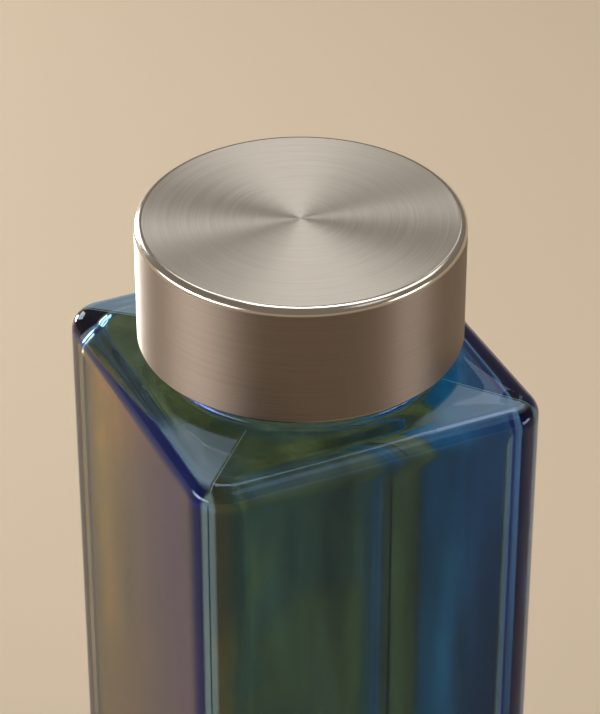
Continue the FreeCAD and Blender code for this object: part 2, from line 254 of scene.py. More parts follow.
def round_ring(radius):
    """Points of a circle, shared out so that an eighth answers each side and each corner of the square."""
    eighth = math.pi / 4
    turns = []
    for side in range(4):
        start = math.pi / 2 * side - math.pi * 5 / 8
        turns += [start + stop * eighth for stop in SIDE_STOPS]
        turns += [start + eighth + eighth * step / CORNER_STEPS for step in range(CORNER_STEPS)]
    return [Vector((math.cos(turn), math.sin(turn))) * radius for turn in turns]


def lift(ring, height):
    """Give a flat ring its height."""
    return [Vector((point.x, point.y, height)) for point in ring]


def square_at(bottle, height, inset, corner):
    """A ring of the square section at a height, some way in from the outside of the walls."""
    return lift(square_ring(bottle.width / 2 - inset, corner), height)


def circle_at(height, radius):
    """A round ring at a height."""
    return lift(round_ring(radius), height)


def between(first, last, share):
    """A ring part of the way from one ring to another."""
    return [a.lerp(b, share) for a, b in zip(first, last)]


def wall_heights(start, end):
    """Heights along a straight wall from one bend to another, the first and last close to the bends."""
    support = math.copysign(SUPPORT, end - start)
    steps = [start + (end - start) * step / FLAT_STEPS for step in range(1, FLAT_STEPS)]
    return [start + support, *steps, end - support]


def ease(share):
    """A smooth step from 0 to 1."""
    share = min(max(share, 0.0), 1.0)
    return share * share * (3 - 2 * share)


def thread_height(bottle, turn, height):
    """How far the thread stands out of the neck at a turn about the axis and a height."""
    start = bottle.rim - bottle.thread_drop - bottle.thread_turns * bottle.pitch
    stands = 0.0
    for lap in range(math.ceil(bottle.thread_turns)):
        along = turn + 2 * math.pi * lap
        left = 2 * math.pi * bottle.thread_turns - along
        if left < 0:
            continue
        middle = start + bottle.pitch * along / (2 * math.pi)
        away = abs(height - middle)
        slope = (bottle.thread_root / 2 - away) / (bottle.thread_root / 2 - bottle.thread_crest / 2)
        run_out = min(along, left) / THREAD_RUN_OUT
        stands = max(stands, ease(slope) * ease(run_out))
    return stands * bottle.thread_depth


def base_rings(bottle):
    """From the middle of the hollow under the base, over the standing ring and round the foot."""
    inner = bottle.inner_corner
    reach = bottle.width / 2 - bottle.base_ring
    rings = [lift(square_ring(reach * share, inner * share), bottle.base_hollow) for share in HOLLOW_STOPS]
    for along, across in quarter(ROUND_STEPS):
        inset = bottle.hollow_round * (1 - along)
        height = bottle.base_hollow - bottle.hollow_round * across
        rings.append(square_at(bottle, height, bottle.base_ring + inset, inner - inset))
    rings.append(square_at(bottle, 0, bottle.base_ring, inner))
    rings.append(square_at(bottle, 0, bottle.base_ring - SUPPORT, inner))
    inset = bottle.base_round + SUPPORT
    rings.append(square_at(bottle, 0, inset, bottle.corner - inset))
    for along, across in quarter(ROUND_STEPS):
        inset = bottle.base_round * (1 - along)
        rings.append(square_at(bottle, bottle.base_round * across, inset, bottle.corner - inset))
    return rings


def wall_rings(bottle):
    """Up the outside of the walls and over the rounding at their top."""
    head = bottle.crown - bottle.shoulder_round
    heights = wall_heights(bottle.base_round, head)
    rings = [square_at(bottle, height, 0, bottle.corner) for height in heights]
    for along, across in quarter(ROUND_STEPS):
        inset = bottle.shoulder_round * across
        rings.append(square_at(bottle, head + bottle.shoulder_round * along, inset, bottle.corner - inset))
    return rings


def shoulder_rings(bottle):
    """Over the shoulder from square to round, and round the root of the neck."""
    neck_base = bottle.crown + bottle.shoulder_rise
    inset = bottle.shoulder_round + bottle.land
    crown = square_at(bottle, bottle.crown, inset, bottle.corner - inset)
    neck_foot = circle_at(neck_base, bottle.neck + bottle.neck_root + bottle.land)
    rings = [between(crown, neck_foot, step / FLAT_STEPS) for step in range(FLAT_STEPS + 1)]
    for along, across in quarter(ROUND_STEPS):
        radius = bottle.neck + bottle.neck_root * (1 - along)
        rings.append(circle_at(neck_base + bottle.neck_root * across, radius))
    return rings


def neck_rings(bottle):
    """Up the neck with its thread, and over the rim."""
    low = bottle.crown + bottle.shoulder_rise + bottle.neck_root
    high = bottle.rim - bottle.rim_round
    levels = math.ceil((high - low) / THREAD_STEP)
    rings = []
    for level in range(1, levels + 1):
        height = low + (high - low) * level / levels
        ring = []
        for point in round_ring(1):
            turn = math.atan2(point.y, point.x) % (2 * math.pi)
            ring.append(point * (bottle.neck + thread_height(bottle, turn, height)))
        rings.append(lift(ring, height))
    for along, across in quarter(ROUND_STEPS)[1:]:
        rings.append(circle_at(high + bottle.rim_round * along, bottle.neck - bottle.rim_round * across))
    for along, across in quarter(ROUND_STEPS):
        radius = bottle.mouth + bottle.rim_round * (1 - along)
        rings.append(circle_at(bottle.rim - bottle.rim_round * across, radius))
    return rings


def mouth_rings(bottle):
    """Down the mouth and round its lower edge to the underside of the roof."""
    high = bottle.rim - bottle.rim_round
    roof = bottle.crown - bottle.roof
    rings = []
    for step in range(1, FLAT_STEPS):
        rings.append(circle_at(high + (roof + bottle.lower_mouth - high) * step / FLAT_STEPS, bottle.mouth))
    for along, across in quarter(ROUND_STEPS):
        radius = bottle.mouth + bottle.lower_mouth * across
        rings.append(circle_at(roof + bottle.lower_mouth * (1 - along), radius))
    return rings


def inside_rings(bottle):
    """Out under the roof, down the inside of the walls and in over the floor."""
    inner = bottle.inner_corner
    roof = bottle.crown - bottle.roof
    roof_bend = bottle.inner_roof_round
    floor_bend = bottle.inner_floor_round
    foot = bottle.floor + floor_bend
    roof_mouth = circle_at(roof, bottle.mouth + bottle.lower_mouth)
    roof_edge = square_at(bottle, roof, bottle.wall + roof_bend, inner - roof_bend)
    rings = [between(roof_mouth, roof_edge, step / FLAT_STEPS) for step in range(1, FLAT_STEPS)]
    for along, across in quarter(ROUND_STEPS):
        inset = roof_bend * (1 - along)
        rings.append(square_at(bottle, roof - roof_bend * across, bottle.wall + inset, inner - inset))
    for height in wall_heights(roof - roof_bend, foot):
        rings.append(square_at(bottle, height, bottle.wall, inner))
    for along, across in quarter(ROUND_STEPS):
        inset = floor_bend * across
        rings.append(square_at(bottle, foot - floor_bend * along, bottle.wall + inset, inner - inset))
    edge = rings[-1]
    half = bottle.width / 2
    middle = lift(square_ring(half * FLOOR_MIDDLE, half * FLOOR_MIDDLE_CORNER), bottle.floor)
    rings += [between(edge, middle, share) for share in FLOOR_STOPS]
    return rings


def bottle_rings(bottle):
    """The glass from the middle of its underside, up the outside, over the rim and down the inside."""
    stretches = (base_rings, wall_rings, shoulder_rings, neck_rings, mouth_rings, inside_rings)
    return [ring for stretch in stretches for ring in stretch(bottle)]


def skin(name, rings):
    """Close a stack of rings into one smooth mesh, with a point in the middle of both ends."""
    shape = bmesh.new()
    rows = [[shape.verts.new(point) for point in ring] for ring in rings]
    count = len(rows[0])
    for lower, upper in zip(rows, rows[1:]):
        for index in range(count):
            after = (index + 1) % count
            shape.faces.new((lower[index], lower[after], upper[after], upper[index]))
    for row, turned in ((rows[0], True), (rows[-1], False)):
        middle = shape.verts.new((0, 0, row[0].co.z))
        for index in range(count):
            pair = (row[index], row[(index + 1) % count])
            shape.faces.new((*(reversed(pair) if turned else pair), middle))
    for face in shape.faces:
        face.smooth = True
    bmesh.ops.recalc_face_normals(shape, faces=shape.faces)
    mesh = bpy.data.meshes.new(name)
    shape.to_mesh(mesh)
    shape.free()
    return mesh


# A Mix node's sockets share their names, so they go by place: the one below, the one above and the result
MIX_FACTOR = 0
MIX_PLACES = {"RGBA": (6, 7, 2), "FLOAT": (2, 3, 0)}

GLASS_IOR = 1.52

# How clear each tint leaves the glass, from 0 for milky to 1 for clear; the milky share lets the painted
# navy shade, painted glow, painted highlights and painted reflection show lit by the lamps
CLEAR = 1.0
NAVY_CLEARNESS = 0.9
BROW_CLEARNESS = 0.8
HIGHLIGHT_CLEARNESS = 0.8
HIP_CLEARNESS = 0.6
REFLECTION_CLEARNESS = 0.5

# Where the walls' tints start and are full, in shares of half the width from the middle to the back
MAUVE_RUN = (0.5, -0.6)
AZURE_RUN = (0.42, 0.36)
SLATE_RUN = (0.1, -0.4)

# Over what length the walls' tints run into the smoke inside, and which heights of the noise are clouds
WALL_BLEND = 2 * MM
CLOUD_RUN = (0.4, 0.6)
CLOUD_DETAIL = 2.0

# Upright streaks: how much slower they change upwards, the noise that shows, and what it does to the tint
STREAK_STRETCH = 0.15
STREAK_DETAIL = 3.0
STREAK_LOW, STREAK_HIGH = 0.36, 0.64
STREAK_DARK, STREAK_LIGHT = 0.5, 1.2

# Where the corners' tints start and are full, in shares of the corner's radius from the flat of a wall: the
# moss and the navy flank of painted shade, then the pale band of painted highlight and the navy line of
# painted shade
CORNER_RUN = (0.0, 0.3)
HIGHLIGHT_RUN = (0.5, 0.6)
NAVY_RUN = (0.685, 0.7)

# Shares of the shoulder's rounding over which the smoke and the brow, a band of painted navy glow, come in,
# and that the brow covers
SMOKE_BLEND = 0.5
BROW_BLEND = 0.125
BROW_REACH = 0.55

# How far below the crown the brow's upper edge lies, and how steeply it sinks towards the back
BROW_DROP = 0.8 * MM
BROW_TAPER = 0.06

# How far below the crown the shoulder's painted reflection and painted highlight line reach, and how wide
# that line to each corner is
TOP_DEPTH = 1 * MM
HIP_WIDTH = 0.25 * MM

# Painted reflection, a milky pale patch on the shoulder's corners: how far from the neck it starts, how soft
# its edge is, and where and how slowly it ends mid-side
REFLECTION_GAP = 4 * MM
REFLECTION_EDGE = 1 * MM
REFLECTION_END = 6 * MM
REFLECTION_FADE = 0.1


def shares_of(size, shares, start=0.0):
    """Readings at some shares of a size, counted from a start."""
    return [start + size * share for share in shares]


def lay_over(tree, ground, layers, kind="RGBA"):
    """Lay tints, or plain numbers, over one another. Each layer starts at one reading of a socket and is
    full at another."""
    below, above, result = MIX_PLACES[kind]
    for layer, reading, start, full in layers:
        mask = add_node(tree, "ShaderNodeMapRange", {"interpolation_type": "SMOOTHSTEP"}, {
            "Value": reading, "From Min": start, "From Max": full})
        mix = add_node(tree, "ShaderNodeMix", {"data_type": kind}, {
            MIX_FACTOR: mask.outputs[0], below: ground, above: layer})
        ground = mix.outputs[result]
    return ground


def glass_readings(tree, bottle, place):
    """Where a place in the glass lies, in metres, for the tints to go by."""
    axes = add_node(tree, "ShaderNodeSeparateXYZ", inputs={0: place})
    across, along, up = (axes.outputs[name] for name in "XYZ")
    aside = add_node(tree, "ShaderNodeMath", {"operation": "ABSOLUTE"}, {0: across})
    ahead = add_node(tree, "ShaderNodeMath", {"operation": "ABSOLUTE"}, {0: along})
    nearer = add_node(tree, "ShaderNodeMath", {"operation": "MINIMUM"}, {
        0: aside.outputs[0], 1: ahead.outputs[0]})
    sidelong = add_node(tree, "ShaderNodeMath", {"operation": "SUBTRACT"}, {
        0: aside.outputs[0], 1: ahead.outputs[0]})
    flat = add_node(tree, "ShaderNodeCombineXYZ", inputs={"X": across, "Y": along})
    radius = add_node(tree, "ShaderNodeVectorMath", {"operation": "LENGTH"}, {0: flat.outputs[0]})
    above_wall = add_node(tree, "ShaderNodeMath", {"operation": "SUBTRACT"}, {
        0: up, 1: bottle.crown - bottle.shoulder_round})
    on_top = add_node(tree, "ShaderNodeMath", {"operation": "SUBTRACT"}, {
        0: up, 1: bottle.crown - TOP_DEPTH})
    return {
        # To the right, to the back and upwards
        "across": across,
        "along": along,
        "up": up,
        # From the middle to either side, and the smaller of that and the way to the front or back
        "aside": aside.outputs[0],
        "nearer": nearer.outputs[0],
        # Above 0 towards a side wall, and below 0 towards the front or back one
        "sidelong": sidelong.outputs[0],
        # From the axis
        "radius": radius.outputs["Value"],
        # Above the straight walls, and above the level where the shoulder's own tints start
        "above_wall": above_wall.outputs[0],
        "on_top": on_top.outputs[0],
    }


def wall_tints(tree, bottle, place, at):
    """Tints of the four walls: one each at the front and back, the back one clouded, and tints that run into
    one another along each side wall, all with faint upright streaks."""
    half = bottle.width / 2
    inside = half - bottle.wall
    smoke, sea, amber, fern, straw, mauve, azure, slate = (
        (*tint, 1) for tint in (bottle.smoke, bottle.sea, bottle.amber, bottle.fern, bottle.straw,
                                bottle.mauve, bottle.azure, bottle.slate))
    clouds = add_node(tree, "ShaderNodeTexNoise", inputs={
        "Vector": place, "Scale": 1 / bottle.cloud, "Detail": CLOUD_DETAIL})
    back_wall = lay_over(tree, amber, [(fern, clouds.outputs["Fac"], *CLOUD_RUN)])
    left_wall = lay_over(tree, straw, [(mauve, at["along"], *shares_of(half, MAUVE_RUN))])
    right_wall = lay_over(tree, amber, [
        (azure, at["along"], *shares_of(half, AZURE_RUN)),
        (slate, at["along"], *shares_of(half, SLATE_RUN)),
    ])
    walls = lay_over(tree, smoke, [
        (sea, at["along"], WALL_BLEND - inside, -inside),
        (back_wall, at["along"], inside - WALL_BLEND, inside),
        (left_wall, at["across"], WALL_BLEND - inside, -inside),
        (right_wall, at["across"], inside - WALL_BLEND, inside),
    ])
    drawn = add_node(tree, "ShaderNodeVectorMath", {"operation": "MULTIPLY"}, {
        0: place, 1: (1 / bottle.streak, 1 / bottle.streak, STREAK_STRETCH / bottle.streak)})
    streaks = add_node(tree, "ShaderNodeTexNoise", inputs={
        "Vector": drawn.outputs["Vector"], "Scale": 1.0, "Detail": STREAK_DETAIL})
    strength = add_node(tree, "ShaderNodeMapRange", inputs={
        "Value": streaks.outputs["Fac"], "From Min": STREAK_LOW, "From Max": STREAK_HIGH,
        "To Min": STREAK_DARK, "To Max": STREAK_LIGHT})
    streaked = add_node(tree, "ShaderNodeVectorMath", {"operation": "SCALE"}, {
        0: walls, "Scale": strength.outputs[0]})
    return streaked.outputs["Vector"]


def flank_depth(tree, bottle, at):
    """How far into a front corner a place lies, on the side walls' half of the corner alone, where the navy
    painted shade goes.
    """
    into_corner = add_node(tree, "ShaderNodeMath", {"operation": "SUBTRACT"}, {
        0: at["nearer"], 1: bottle.width / 2 - bottle.corner})
    side_half = add_node(tree, "ShaderNodeMath", {"operation": "MINIMUM"}, {
        0: into_corner.outputs[0], 1: at["sidelong"]})
    forward = add_node(tree, "ShaderNodeMath", {"operation": "MULTIPLY"}, {0: at["along"], 1: -1.0})
    flank = add_node(tree, "ShaderNodeMath", {"operation": "MINIMUM"}, {
        0: side_half.outputs[0], 1: forward.outputs[0]})
    return flank.outputs[0]


def brow_depth(tree, bottle, at):
    """How far into the rounded top of a side wall a place lies, in a band of painted navy glow that narrows
    towards the back.
    """
    side_top = add_node(tree, "ShaderNodeMath", {"operation": "MINIMUM"}, {
        0: at["above_wall"], 1: at["sidelong"]})
    past_edge = add_node(tree, "ShaderNodeMath", {"operation": "SUBTRACT"}, {
        0: at["aside"], 1: bottle.width / 2 - BROW_REACH * bottle.shoulder_round})
    into_top = add_node(tree, "ShaderNodeMath", {"operation": "MINIMUM"}, {
        0: side_top.outputs[0], 1: past_edge.outputs[0]})
    ceiling = add_node(tree, "ShaderNodeMath", {"operation": "MULTIPLY_ADD"}, {
        0: at["along"], 1: -BROW_TAPER, 2: bottle.crown - BROW_DROP})
    below_ceiling = add_node(tree, "ShaderNodeMath", {"operation": "SUBTRACT"}, {
        0: ceiling.outputs[0], 1: at["up"]})
    brow_painted_glow = add_node(tree, "ShaderNodeMath", {"operation": "MINIMUM"}, {
        0: into_top.outputs[0], 1: below_ceiling.outputs[0]})
    return brow_painted_glow.outputs[0]


def painted_reflection_depth(tree, bottle, at):
    """How far into the painted reflection a place lies, a milky pale patch: on top of the shoulder, outside
    the neck, on one half of each corner, and less and less towards the middle of a side."""
    off_neck = add_node(tree, "ShaderNodeMath", {"operation": "SUBTRACT"}, {
        0: at["radius"], 1: bottle.neck + REFLECTION_GAP})
    in_corner = add_node(tree, "ShaderNodeMath", {"operation": "MINIMUM"}, {
        0: off_neck.outputs[0], 1: at["on_top"]})
    quadrant = add_node(tree, "ShaderNodeMath", {"operation": "MULTIPLY"}, {0: at["across"], 1: at["along"]})
    hand = add_node(tree, "ShaderNodeMath", {"operation": "SIGN"}, {0: quadrant.outputs[0]})
    past_line = add_node(tree, "ShaderNodeMath", {"operation": "MULTIPLY"}, {
        0: at["sidelong"], 1: hand.outputs[0]})
    one_half = add_node(tree, "ShaderNodeMath", {"operation": "MINIMUM"}, {
        0: in_corner.outputs[0], 1: past_line.outputs[0]})
    fading = add_node(tree, "ShaderNodeMath", {"operation": "MULTIPLY_ADD"}, {
        0: at["nearer"], 1: REFLECTION_FADE, 2: -REFLECTION_FADE * REFLECTION_END})
    mist_painted_reflection = add_node(tree, "ShaderNodeMath", {"operation": "MINIMUM"}, {
        0: one_half.outputs[0], 1: fading.outputs[0]})
    return mist_painted_reflection.outputs[0]


def hip_depth(tree, bottle, at):
    """How far into the fine line of painted highlight a place lies that runs over the shoulder from the neck
    to each corner.
    """
    off_line = add_node(tree, "ShaderNodeMath", {"operation": "ABSOLUTE"}, {0: at["sidelong"]})
    on_line = add_node(tree, "ShaderNodeMath", {"operation": "SUBTRACT"}, {
        0: HIP_WIDTH, 1: off_line.outputs[0]})
    outside_neck = add_node(tree, "ShaderNodeMath", {"operation": "SUBTRACT"}, {
        0: at["radius"], 1: bottle.neck + bottle.neck_root})
    on_shoulder = add_node(tree, "ShaderNodeMath", {"operation": "MINIMUM"}, {
        0: outside_neck.outputs[0], 1: at["on_top"]})
    hip = add_node(tree, "ShaderNodeMath", {"operation": "MINIMUM"}, {
        0: on_shoulder.outputs[0], 1: on_line.outputs[0]})
    return hip.outputs[0]


def edge_tints(tree, bottle, at, walls):
    """Tint and clearness of the whole bottle: the walls, the smoky shoulder with a milky patch of painted
    reflection in its corners and a fine pale line of painted highlight to each, painted navy glow along the
    rounded tops of the side walls, and up the corners moss, navy bands of painted shade and pale bands of
    painted highlight."""
    corner = bottle.corner
    straight = bottle.width / 2 - corner
    bend = bottle.shoulder_round
    smoke, moss, cobalt_painted_shade, mist_painted_reflection, brow_painted_glow, frost_painted_highlight = (
        (*tint, 1) for tint in (bottle.smoke, bottle.moss, bottle.cobalt_painted_shade, bottle.mist_painted_reflection, bottle.brow_painted_glow,
                                bottle.frost_painted_highlight))
    # Painted light and shade: navy flank, shoulder reflection, highlight line over it, navy glow on the side
    # walls' tops, and up each corner a pale highlight band and a navy shade line
    bands = (
        (cobalt_painted_shade, NAVY_CLEARNESS, flank_depth(tree, bottle, at), *shares_of(corner, CORNER_RUN)),
        (mist_painted_reflection, REFLECTION_CLEARNESS, painted_reflection_depth(tree, bottle, at), 0.0, REFLECTION_EDGE),
        (frost_painted_highlight, HIP_CLEARNESS, hip_depth(tree, bottle, at), 0.0, HIP_WIDTH),
        (brow_painted_glow, BROW_CLEARNESS, brow_depth(tree, bottle, at), 0.0, bend * BROW_BLEND),
        (frost_painted_highlight, HIGHLIGHT_CLEARNESS, at["nearer"], *shares_of(corner, HIGHLIGHT_RUN, straight)),
        (cobalt_painted_shade, NAVY_CLEARNESS, at["nearer"], *shares_of(corner, NAVY_RUN, straight)),
    )
    tint = lay_over(tree, walls, [
        (smoke, at["above_wall"], 0.0, bend * SMOKE_BLEND),
        (moss, at["nearer"], *shares_of(corner, CORNER_RUN, straight)),
        *((band_tint, *where) for band_tint, _, *where in bands),
    ])
    clearness = lay_over(tree, CLEAR, [(clear, *where) for _, clear, *where in bands], "FLOAT")
    return tint, clearness


def tinted_moulded_glass(bottle):
    """Soda-lime glass, moulded and given a lustre: smooth clear walls with a tint of their own on each side,
    navy and pale lines of painted shade and painted highlight where the edges gather light, a pale patch of
    painted reflection on the shoulder, bluish depths and bluish reflections."""
    material, tree, output = new_material("tinted_moulded_glass")
    place = add_node(tree, "ShaderNodeTexCoord").outputs["Object"]
    at = glass_readings(tree, bottle, place)
    tint, clearness = edge_tints(tree, bottle, at, wall_tints(tree, bottle, place, at))
    glass = add_node(tree, "ShaderNodeBsdfPrincipled", inputs={
        "Base Color": tint,
        "Roughness": 0.0,
        "IOR": GLASS_IOR,
        "Specular Tint": (*bottle.lustre, 1),
        "Transmission Weight": clearness,
    })
    depth = add_node(tree, "ShaderNodeVolumeAbsorption", inputs={
        "Color": (*bottle.depth_blue, 1),
        "Density": bottle.depth_density,
    })
    tree.links.new(glass.outputs["BSDF"], output.inputs["Surface"])
    tree.links.new(depth.outputs["Volume"], output.inputs["Volume"])
    return material


class BOTTLE_OT_glass(bpy.types.Operator):
    """Make the square glass bottle with its neck and thread"""

    bl_idname = "bottle.glass"
    bl_label = "Glass Bottle"

    def execute(self, context):
        bottle = context.scene.square_bottle
        mesh = skin("glass_bottle_skin", bottle_rings(bottle))
        piece = new_object("moulded_glass_bottle", mesh, [tinted_moulded_glass(bottle)])
        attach(piece, "bottle")
        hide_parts("glass_bottle")
        return {"FINISHED"}


# How finely the shell is drawn: steps around it, and stops out over its top and down its side
LATHE_STEPS = 192
TOP_STOPS = (0.25, 0.5, 0.75, 0.98, 1.0)
SHELL_STOPS = (0.02, 0.35, 0.65, 0.98, 1.0)


def lathe(name, outline, zones):
    """Turn an outline of (radius, height) points about the axis; zones give each stretch its material."""
    shape = bmesh.new()
    turns = [2 * math.pi * step / LATHE_STEPS for step in range(LATHE_STEPS)]
    rows = []
    for radius, height in outline:
        if radius == 0:
            rows.append([shape.verts.new((0, 0, height))])
            continue
        rows.append([shape.verts.new((radius * math.cos(t), radius * math.sin(t), height)) for t in turns])
    for stretch, (first, last) in enumerate(zip(rows, rows[1:])):
        for step in range(LATHE_STEPS):
            after = (step + 1) % LATHE_STEPS
            if len(first) == 1:
                corners = (first[0], last[step], last[after])
            elif len(last) == 1:
                corners = (first[step], last[0], first[after])
            else:
                corners = (first[step], last[step], last[after], first[after])
            face = shape.faces.new(corners)
            face.smooth = True
            face.material_index = zones[stretch]
    bmesh.ops.recalc_face_normals(shape, faces=shape.faces)
    mesh = bpy.data.meshes.new(name)
    shape.to_mesh(mesh)
    shape.free()
    return mesh


def shell_outline(cap):
    """The steel shell's section from the middle of its top round to the middle of its underside."""
    top_zone, rim_zone, side_zone = range(3)
    points = [(0, cap.top)]
    zones = []

    def add(radius, height, zone):
        points.append((radius, height))
        zones.append(zone)

    # Top, rim, side and turned-in lower edge
    flat = cap.radius - cap.rim_round
    under_rim = cap.top - cap.rim_round
    above_hem = cap.edge + cap.hem_round
    hem_inside = cap.radius - cap.hem
    for share in TOP_STOPS:
        add(flat * share, cap.top, top_zone)
    for along, across in quarter(ROUND_STEPS)[1:]:
        add(flat + cap.rim_round * along, cap.top - cap.rim_round * across, rim_zone)
    for share in SHELL_STOPS:
        add(cap.radius, under_rim + (above_hem - under_rim) * share, side_zone)
    for along, across in quarter(ROUND_STEPS)[1:]:
        add(cap.radius - cap.hem_round * across, above_hem - cap.hem_round * along, rim_zone)
    add(hem_inside + SUPPORT, cap.edge, rim_zone)
    add(hem_inside, cap.edge, rim_zone)

    # Inside, a wall's thickness further in
    inside = cap.radius - cap.wall
    bend = cap.rim_round - cap.wall
    add(hem_inside, cap.edge + cap.wall, side_zone)
    add(inside, cap.edge + cap.wall, side_zone)
    add(inside, under_rim, side_zone)
    for along, across in quarter(ROUND_STEPS)[1:]:
        add(inside - bend * across, under_rim + bend * along, side_zone)
    add(0, cap.top - cap.wall, side_zone)
    return points, zones


# Brushed steel: the noise that shows, and what its lines do to the shade, the roughness and the surface
BRUSH_DETAIL = 3.0
BRUSH_FINENESS = 0.65
BRUSH_LOW, BRUSH_HIGH = 0.3, 0.7
BRUSH_DARK, BRUSH_LIGHT = 0.86, 1.06
BRUSHED_ROUGHNESS = 0.5
BRUSHED_VARIATION = 0.06
BRUSH_RELIEF = 0.12
BRUSH_DEPTH = 0.05 * MM

# How strongly the lines pull highlights, and the quarter turn that pulls them across the lines
BRUSH_PULL = 0.85
QUARTER_TURN = 0.25

# Polished steel: size and detail of the handling marks, and the roughness between which they change
MARK_SIZE = 2 * MM
MARK_DETAIL = 4.0
POLISH_CLEAR, POLISH_DULL = 0.1, 0.22


def brushed_steel(name, base, cap, along):
    """Stainless steel brushed on a lathe: fine lines around the axis that pull highlights out across them.
    The lines are really about a tenth of a millimetre apart, and are drawn coarser so that they show."""
    material, tree, output = new_material(name)
    place = add_node(tree, "ShaderNodeTexCoord")
    axes = add_node(tree, "ShaderNodeSeparateXYZ", inputs={0: place.outputs["Object"]})
    flat = add_node(tree, "ShaderNodeCombineXYZ", inputs={"X": axes.outputs["X"], "Y": axes.outputs["Y"]})
    radius = add_node(tree, "ShaderNodeVectorMath", {"operation": "LENGTH"}, {0: flat.outputs[0]})
    around = add_node(tree, "ShaderNodeVectorMath", {"operation": "NORMALIZE"}, {0: flat.outputs[0]})
    heading = add_node(tree, "ShaderNodeSeparateXYZ", inputs={0: around.outputs["Vector"]})
    distance = radius.outputs["Value"] if along == "radius" else axes.outputs["Z"]
    lines = add_node(tree, "ShaderNodeMath", {"operation": "DIVIDE"}, {0: distance, 1: cap.brush})
    stroke = add_node(tree, "ShaderNodeCombineXYZ", inputs={
        "X": lines.outputs[0], "Y": heading.outputs["X"], "Z": heading.outputs["Y"]})
    brush = add_node(tree, "ShaderNodeTexNoise", inputs={
        "Vector": stroke.outputs[0], "Scale": 1.0, "Detail": BRUSH_DETAIL, "Roughness": BRUSH_FINENESS})
    shade = add_node(tree, "ShaderNodeMapRange", inputs={
        "Value": brush.outputs["Fac"], "From Min": BRUSH_LOW, "From Max": BRUSH_HIGH,
        "To Min": BRUSH_DARK, "To Max": BRUSH_LIGHT})
    tone = add_node(tree, "ShaderNodeVectorMath", {"operation": "SCALE"}, {
        0: base, "Scale": shade.outputs[0]})
    satin = add_node(tree, "ShaderNodeMapRange", inputs={
        "Value": brush.outputs["Fac"], "From Min": BRUSH_LOW, "From Max": BRUSH_HIGH,
        "To Min": BRUSHED_ROUGHNESS - BRUSHED_VARIATION, "To Max": BRUSHED_ROUGHNESS + BRUSHED_VARIATION})
    ridges = add_node(tree, "ShaderNodeBump", inputs={
        "Strength": BRUSH_RELIEF, "Distance": BRUSH_DEPTH, "Height": brush.outputs["Fac"]})
    tangent = add_node(tree, "ShaderNodeTangent", {"direction_type": "RADIAL", "axis": "Z"})
    steel = add_node(tree, "ShaderNodeBsdfPrincipled", inputs={
        "Base Color": tone.outputs["Vector"],
        "Metallic": 1.0,
        "Roughness": satin.outputs[0],
        "Anisotropic": BRUSH_PULL,
        "Anisotropic Rotation": QUARTER_TURN,
        "Tangent": tangent.outputs[0],
        "Normal": ridges.outputs[0],
    })
    tree.links.new(steel.outputs["BSDF"], output.inputs["Surface"])
    return material


def polished_steel(cap):
    """The shell's rim, polished bright: a narrow clear mirror with faint handling marks."""
    material, tree, output = new_material("polished_stainless_steel")
    place = add_node(tree, "ShaderNodeTexCoord")
    marks = add_node(tree, "ShaderNodeTexNoise", inputs={
        "Vector": place.outputs["Object"], "Scale": 1 / MARK_SIZE, "Detail": MARK_DETAIL})
    gloss = add_node(tree, "ShaderNodeMapRange", inputs={
        "Value": marks.outputs["Fac"], "To Min": POLISH_CLEAR, "To Max": POLISH_DULL})
    steel = add_node(tree, "ShaderNodeBsdfPrincipled", inputs={
        "Base Color": (*cap.rim_steel, 1), "Metallic": 1.0, "Roughness": gloss.outputs[0]})
    tree.links.new(steel.outputs["BSDF"], output.inputs["Surface"])
    return material


class BOTTLE_OT_cap_shell(bpy.types.Operator):
    """Make the brushed steel shell of the cap"""

    bl_idname = "bottle.cap_shell"
    bl_label = "Steel Cap Shell"

    def execute(self, context):
        cap = context.scene.bottle_cap
        materials = [
            brushed_steel("brushed_steel_top", cap.top_steel, cap, "radius"),
            polished_steel(cap),
            # The side's darker, warmer copy of the steel is painted shade and a painted warm reflection
            brushed_steel("brushed_steel_side_painted_shade", cap.side_steel_painted_shade, cap, "height"),
        ]
        piece = new_object("brushed_cap_shell", lathe("cap_shell_skin", *shell_outline(cap)), materials)
        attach(piece, "cap")
        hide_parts("cap_shell")
        return {"FINISHED"}


# Moulded plastic and rubber: what the mould's texture does to the shade, the roughness and the surface
PLASTIC_IOR = 1.49
MOULD_DETAIL = 3.0
MOULD_DARK, MOULD_LIGHT = 0.9, 1.1
MOULD_VARIATION = 0.08
MOULD_RELIEF = 0.15
MOULD_DEPTH = 0.05 * MM


def moulded_plastic(name, base, roughness, grain):
    """Moulded plastic or rubber: an even colour with a fine mould texture that softens its gloss. The real
    texture is about a tenth of a millimetre across, and is drawn coarser so that it shows."""
    material, tree, output = new_material(name)
    place = add_node(tree, "ShaderNodeTexCoord")
    texture = add_node(tree, "ShaderNodeTexNoise", inputs={
        "Vector": place.outputs["Object"], "Scale": 1 / grain, "Detail": MOULD_DETAIL})
    shade = add_node(tree, "ShaderNodeMapRange", inputs={
        "Value": texture.outputs["Fac"], "To Min": MOULD_DARK, "To Max": MOULD_LIGHT})
    tone = add_node(tree, "ShaderNodeVectorMath", {"operation": "SCALE"}, {
        0: base, "Scale": shade.outputs[0]})
    gloss = add_node(tree, "ShaderNodeMapRange", inputs={
        "Value": texture.outputs["Fac"],
        "To Min": roughness - MOULD_VARIATION, "To Max": roughness + MOULD_VARIATION})
    bumps = add_node(tree, "ShaderNodeBump", inputs={
        "Strength": MOULD_RELIEF, "Distance": MOULD_DEPTH, "Height": texture.outputs["Fac"]})
    plastic = add_node(tree, "ShaderNodeBsdfPrincipled", inputs={
        "Base Color": tone.outputs["Vector"], "Roughness": gloss.outputs[0], "IOR": PLASTIC_IOR,
        "Normal": bumps.outputs[0]})
    tree.links.new(plastic.outputs["BSDF"], output.inputs["Surface"])
    return material


